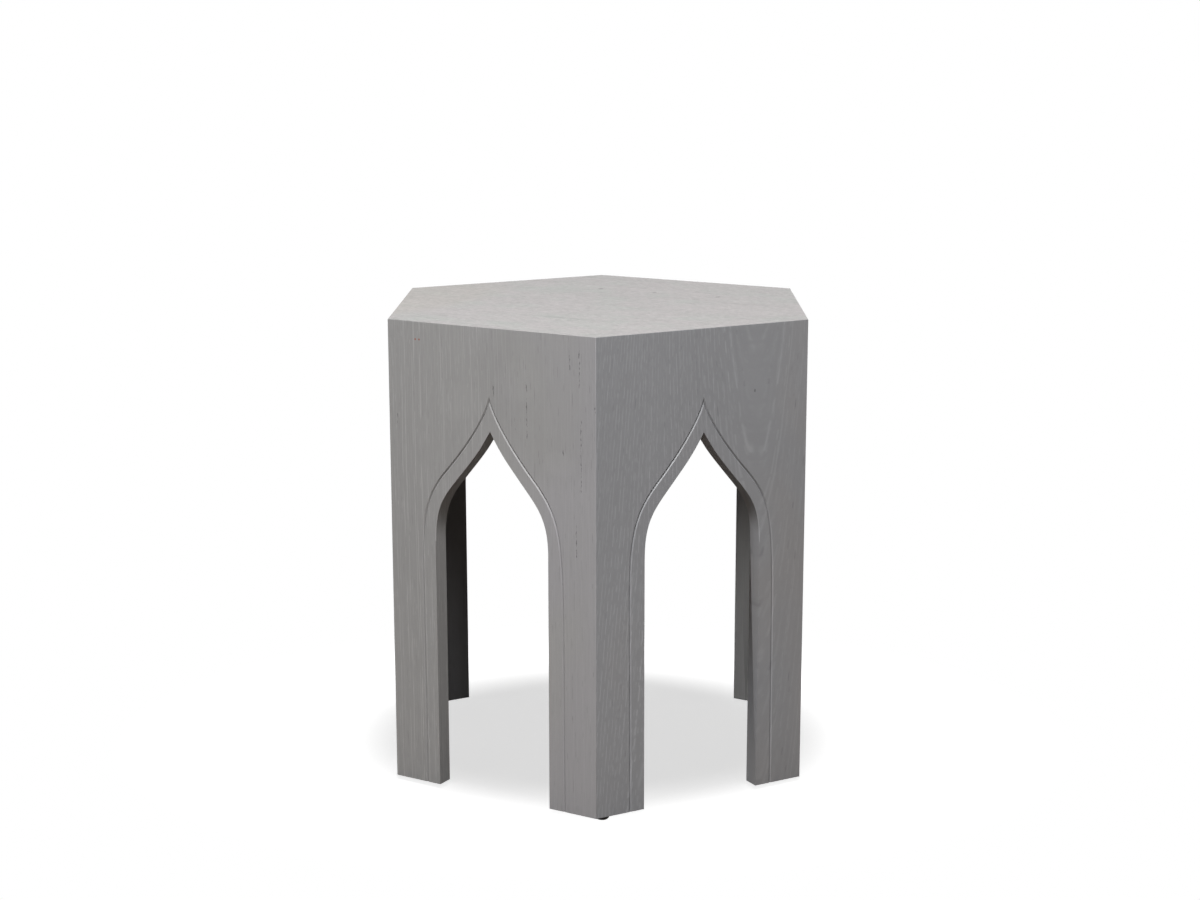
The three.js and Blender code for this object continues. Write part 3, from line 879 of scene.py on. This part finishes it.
def zinc_plate():
    """Bright zinc: pale, faintly clouded metal with a fine drawn texture"""
    material, tree, shader = new_finish("zinc_plate")
    x, y, z = place_on_piece(tree, 0)
    film = cloud(tree, scaled(tree, calc(tree, "ADD", x, y), 2), scaled(tree, z, 2), 3.0, 3.0)
    tint = blend(tree, ramp(tree, film, 0.3, 0.7), (0.44, 0.45, 0.47), (0.52, 0.52, 0.50))
    tree.links.new(tint, shader.inputs["Base Color"])
    shader.inputs["Metallic"].default_value = 1.0
    wire(tree, total(tree, [(0.2, film)], 0.25), shader.inputs["Roughness"])
    set_relief(tree, shader, film, 0.15, 0.05 * mm)
    return material


def dark_nylon():
    """Moulded nylon: near black brown, with a fine spark texture and dusty scuffs"""
    material, tree, shader = new_finish("dark_nylon")
    x, y, z = place_on_piece(tree, 0)
    spark = tree.nodes.new("ShaderNodeTexNoise")
    tree.links.new(joined(tree, x, y, z), spark.inputs["Vector"])
    spark.inputs["Scale"].default_value = 3.0
    spark.inputs["Detail"].default_value = 4.0
    scuff = cloud(tree, scaled(tree, calc(tree, "ADD", x, z), 1.5), scaled(tree, y, 1.5), 6.0, 3.0)
    tint = blend(
        tree, ramp(tree, scuff, 0.5, 0.8), (0.040, 0.034, 0.032), (0.085, 0.078, 0.074))
    tree.links.new(tint, shader.inputs["Base Color"])
    wire(tree, total(tree, [(0.2, scuff)], 0.36), shader.inputs["Roughness"])
    set_relief(tree, shader, spark.outputs["Fac"], 0.3, 0.08 * mm)
    return material


zinc = zinc_plate()
nylon = dark_nylon()
insert_profile = [
    (bore_radius + 0.4 * mm, 0), (3.75 * mm, 0), (4 * mm, 0.25 * mm), (4 * mm, 12.75 * mm),
    (3.75 * mm, 13 * mm), (bore_radius, 13 * mm), (bore_radius, 0.4 * mm),
]
pad_profile = [
    (0, 0.3 * mm), (3.6 * mm, 0.3 * mm), (4.0 * mm, 0), (5.8 * mm, 0), (6.15 * mm, 0.15 * mm),
    (7.35 * mm, 1.4 * mm), (7.5 * mm, 1.75 * mm), (7.5 * mm, 3.5 * mm), (7.43 * mm, 3.75 * mm),
    (7.25 * mm, 3.93 * mm), (7.0 * mm, 4.0 * mm), (3.5 * mm, 4.0 * mm), (3.15 * mm, 3.65 * mm),
    (3.15 * mm, 1.6 * mm), (0, 1.6 * mm),
]
for i, name in enumerate(corner_names):
    across = hole_from_corner * math.cos(half_sixth) - board / 2 * math.sin(half_sixth)
    inward = hole_from_corner * math.sin(half_sixth) + board / 2 * math.cos(half_sixth)
    place = Matrix.Rotation(i * sixth_turn, 3, "Z") @ Vector(
        (leveller_hands[i] * across, inward - corner_radius, 0)
    )
    insert_place = place + Vector((0, 0, foot_z))
    insert = turned(f"foot_insert_{name}", insert_profile, insert_steps, zinc, insert_place)
    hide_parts(f"insert_{name}")
    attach(insert, "root")
    low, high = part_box(f"stud_{name}")
    stud = threaded_stud(f"threaded_stud_{name}", low[2], high[2], zinc, place)
    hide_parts(f"stud_{name}")
    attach(stud, f"stud_{name}")
    pad = turned(f"swivel_pad_{name}", pad_profile, pad_steps, nylon, place, closed=False)
    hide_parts(f"pad_{name}")
    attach(pad, f"pad_{name}")

# Studio: a plain pale floor that keeps the stool's soft shadow from a lamp that lights the floor
# alone, with a painted shadow under the stool where the floor's glow for the camera dims in an
# oval, and a white surround that gives no light. One lamp lights the floor alone. Three light the
# stool from above, from in front and from the left, one the inside of a back board, and two the
# side and back boards from behind.
scene = bpy.context.scene
scene.view_settings.view_transform = "Standard"
painted_shadow_middle = (-0.01, 0.031)
painted_shadow_half_size = (0.29, 0.226)
painted_shadow_edge = (0.72, 1.3)
painted_shadow_brightness = 0.69
white_from, white_to = 1.3, 2.0
floor_half_size = 40
lamps_aim_at = Vector((0, 0, 0.3))


def node_with(tree, kind, **values):
    """A node of one kind with its inputs set, and its first output"""
    node = tree.nodes.new(kind)
    for name, value in values.items():
        wire(tree, value, node.inputs[name])
    return node.outputs[0]


def mixed(tree, share, first, second):
    node = tree.nodes.new("ShaderNodeMixShader")
    for source, socket in zip((share, first, second), node.inputs):
        tree.links.new(source, socket)
    return node.outputs[0]


def rays_of(tree, *kinds):
    """1 for rays of these kinds"""
    path = tree.nodes.new("ShaderNodeLightPath")
    result = 0.0
    for kind in kinds:
        result = calc(tree, "MAXIMUM", path.outputs[kind], result)
    return result


def set_surface(tree, shader):
    out = next(node for node in tree.nodes if node.type in ("OUTPUT_MATERIAL", "OUTPUT_WORLD"))
    tree.links.new(shader, out.inputs["Surface"])


floor_material, floor_tree, floor_shader = new_finish("studio_floor")
floor_tree.nodes.remove(floor_shader)
floor_spots = place_on_piece(floor_tree, 0, 1.0)
floor_reach = calc(floor_tree, "SQRT", calc(floor_tree, "ADD", *(
    calc(floor_tree, "POWER", calc(
        floor_tree, "MULTIPLY_ADD", spot, 1 / half_size, -middle / half_size), 2.0)
    for spot, middle, half_size in zip(floor_spots, painted_shadow_middle, painted_shadow_half_size)
)))
paper = node_with(floor_tree, "ShaderNodeBsdfDiffuse", Color=(0.6, 0.6, 0.6, 1))
# the glow seen by the camera dims to a painted shadow in an oval under the stool, and is white
# further out
lift = node_with(floor_tree, "ShaderNodeEmission", Strength=ramp(
    floor_tree, floor_reach, *painted_shadow_edge, painted_shadow_brightness, 1.0))
near_floor = floor_tree.nodes.new("ShaderNodeAddShader")
floor_tree.links.new(paper, near_floor.inputs[0])
floor_tree.links.new(lift, near_floor.inputs[1])
white = node_with(floor_tree, "ShaderNodeEmission", Strength=1.0)
seen_floor = mixed(
    floor_tree, ramp(floor_tree, floor_reach, white_from, white_to), near_floor.outputs[0], white)
dull = node_with(floor_tree, "ShaderNodeBsdfDiffuse", Color=(0.48, 0.42, 0.37, 1))
seen = rays_of(floor_tree, "Is Camera Ray", "Is Transmission Ray")
set_surface(floor_tree, mixed(floor_tree, seen, dull, seen_floor))

floor_bm = bmesh.new()
bmesh.ops.create_grid(floor_bm, x_segments=1, y_segments=1, size=floor_half_size)
floor = finished_object("studio_floor", floor_bm, [floor_material])

world = bpy.data.worlds.new("studio_surround")
scene.world = world
world.use_nodes = True
world_tree = world.node_tree
world_light = world_tree.nodes["Background"]
world_light.inputs["Color"].default_value = (1, 1, 1, 1)
world_light.inputs["Strength"].default_value = 0.0
surround = node_with(world_tree, "ShaderNodeBackground", Color=(1, 1, 1, 1), Strength=1.0)
world_seen = rays_of(world_tree, "Is Camera Ray", "Is Glossy Ray", "Is Transmission Ray")
set_surface(world_tree, mixed(world_tree, world_seen, world_light.outputs[0], surround))


def soft_lamp(name, left_of_front, elevation, distance, size, power):
    """An area lamp aimed at the stool, its direction measured from straight in front"""
    lamp = bpy.data.lights.new(name, "AREA")
    lamp.shape = "DISK"
    lamp.size = size
    lamp.energy = power
    around, up = math.radians(left_of_front), math.radians(elevation)
    toward = Vector(
        (-math.sin(around) * math.cos(up), -math.cos(around) * math.cos(up), math.sin(up)))
    holder = bpy.data.objects.new(name, lamp)
    bpy.context.scene.collection.objects.link(holder)
    holder.location = lamps_aim_at + toward * distance
    holder.rotation_euler = toward.to_track_quat("Z", "Y").to_euler()
    return holder


def light_group(name, members):
    group = bpy.data.collections.new(name)
    for member in members:
        group.objects.link(bpy.data.objects[member])
    return group


off_floor = light_group("off_the_floor", ["studio_floor"])
off_floor.collection_objects[0].light_linking.link_state = "EXCLUDE"
floor_alone = light_group("floor_alone", ["studio_floor"])
inside_alone = light_group("inside_alone", ["side_board_back_right"])
sides_alone = light_group("sides_alone", [
    "side_board_right", "side_board_back_right", "side_board_back_left", "side_board_left"])
for lamp, lit in (
    (soft_lamp("overhead_lamp", 0, 88, 2.6, 0.8, 51), floor_alone),
    (soft_lamp("key_lamp", 8, 59, 3.6, 1.4, 157), off_floor),
    (soft_lamp("front_lamp", 0, 32, 2.6, 1.2, 4.4), off_floor),
    (soft_lamp("left_lamp", 58, 14, 2.6, 1.2, 2.5), off_floor),
    (soft_lamp("inside_lamp", 55, 17, 2.6, 1.2, 85), inside_alone),
    (soft_lamp("back_left_lamp", 135, 38, 2.6, 1.4, 26), sides_alone),
    (soft_lamp("back_right_lamp", -125, 38, 2.6, 1.4, 20), sides_alone),
):
    lamp.light_linking.receiver_collection = lit

# Camera: the photograph's own viewpoint, a little to the right and just above the top, found
# from the twelve outer corners of the case.
camera_place = (0.0335, -2.3870, 0.8508)
view_around, view_down, view_roll = math.radians(0.79), math.radians(11.73), math.radians(-0.04)
camera_data = bpy.data.cameras.new("camera")
camera_data.lens = 62.79
camera_data.sensor_width = 36
camera_data.sensor_fit = "HORIZONTAL"
camera_data.clip_end = 200
camera = bpy.data.objects.new("camera", camera_data)
scene.collection.objects.link(camera)
backward = Vector((
    math.sin(view_around) * math.cos(view_down), -math.cos(view_around) * math.cos(view_down),
    math.sin(view_down),
))
rightward = (-backward).cross(Vector((0, 0, 1))).normalized()
upward = rightward.cross(-backward)
rolled = Matrix.Rotation(view_roll, 3, backward)
camera.matrix_world = Matrix.Translation(camera_place) @ Matrix(
    (rolled @ rightward, rolled @ upward, backward)
).transposed().to_4x4()
scene.camera = camera
